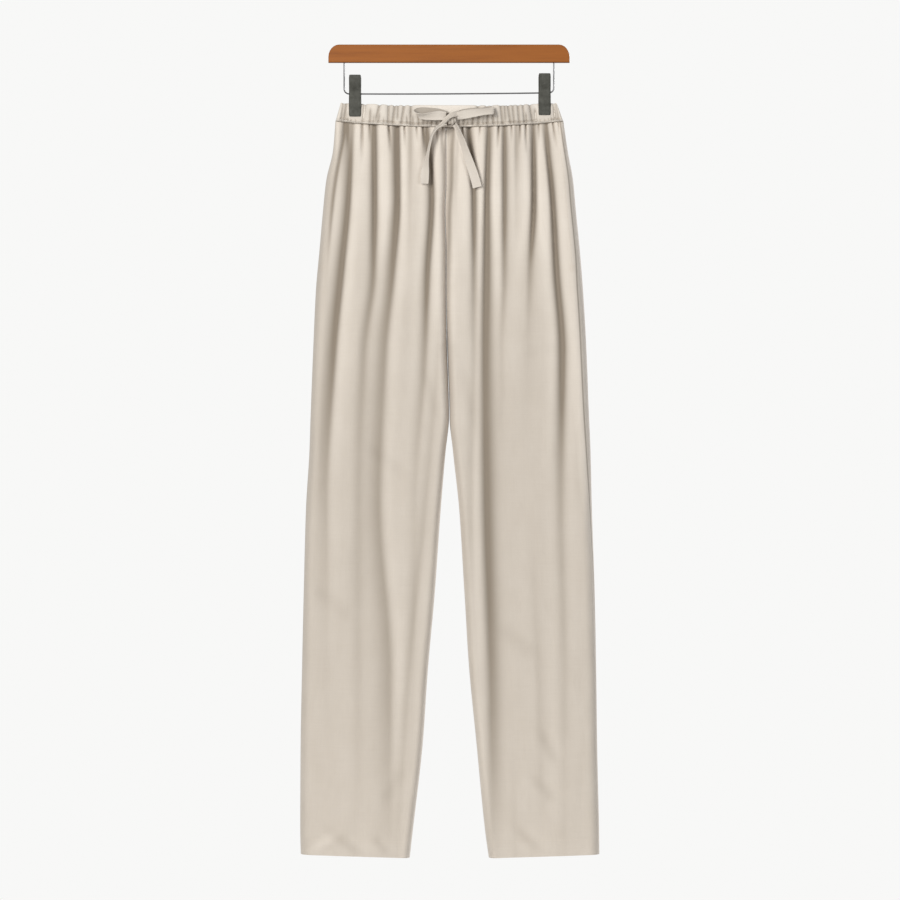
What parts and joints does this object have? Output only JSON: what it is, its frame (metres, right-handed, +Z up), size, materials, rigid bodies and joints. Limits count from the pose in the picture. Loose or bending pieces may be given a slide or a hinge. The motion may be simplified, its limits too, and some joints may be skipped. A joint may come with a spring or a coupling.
{
  "type": "linen drawstring trousers on a wooden clip hanger",
  "caption": "Wide straight-leg trousers with a gathered elastic waist and a tied drawstring, hanging flat from the spring clips of a wooden bar hanger.",
  "frame": {"origin": "middle of the top face of the hanger's wooden bar, where its hook or rail would hold it", "axes": "+Z up, +X to the viewer's right along the bar, front of the trousers faces -Y"},
  "size_m": [0.4193, 0.0668, 1.139],
  "materials": {
    "linen": "soft matte oatmeal linen with a fine slub",
    "linen_band": "the same linen, gathered over elastic",
    "pocketing": "thin plain-woven cloth",
    "tie": "flat self-fabric tape, matte",
    "wood": "honey-cherry lacquer, satin",
    "steel": "bright drawn wire",
    "clip": "dark olive-grey satin"
  },
  "bodies": {
    "root": {"front_left": "linen", "front_right": "linen", "back_left": "linen", "back_right": "linen", "waistband_front": "linen_band", "waistband_back": "linen_band", "pocket_bag_left": "pocketing", "pocket_bag_right": "pocketing", "drawstring_knot": "tie", "drawstring_loop_left": "tie", "drawstring_loop_right": "tie", "drawstring_tail_left": "tie", "drawstring_tail_right": "tie", "hanger_bar": "wood", "hanger_wire": "steel", "clip_left_front": "clip", "clip_left_back": "clip", "clip_left_spring": "steel", "clip_right_front": "clip", "clip_right_back": "clip", "clip_right_spring": "steel"}
  },
  "joints": []
}
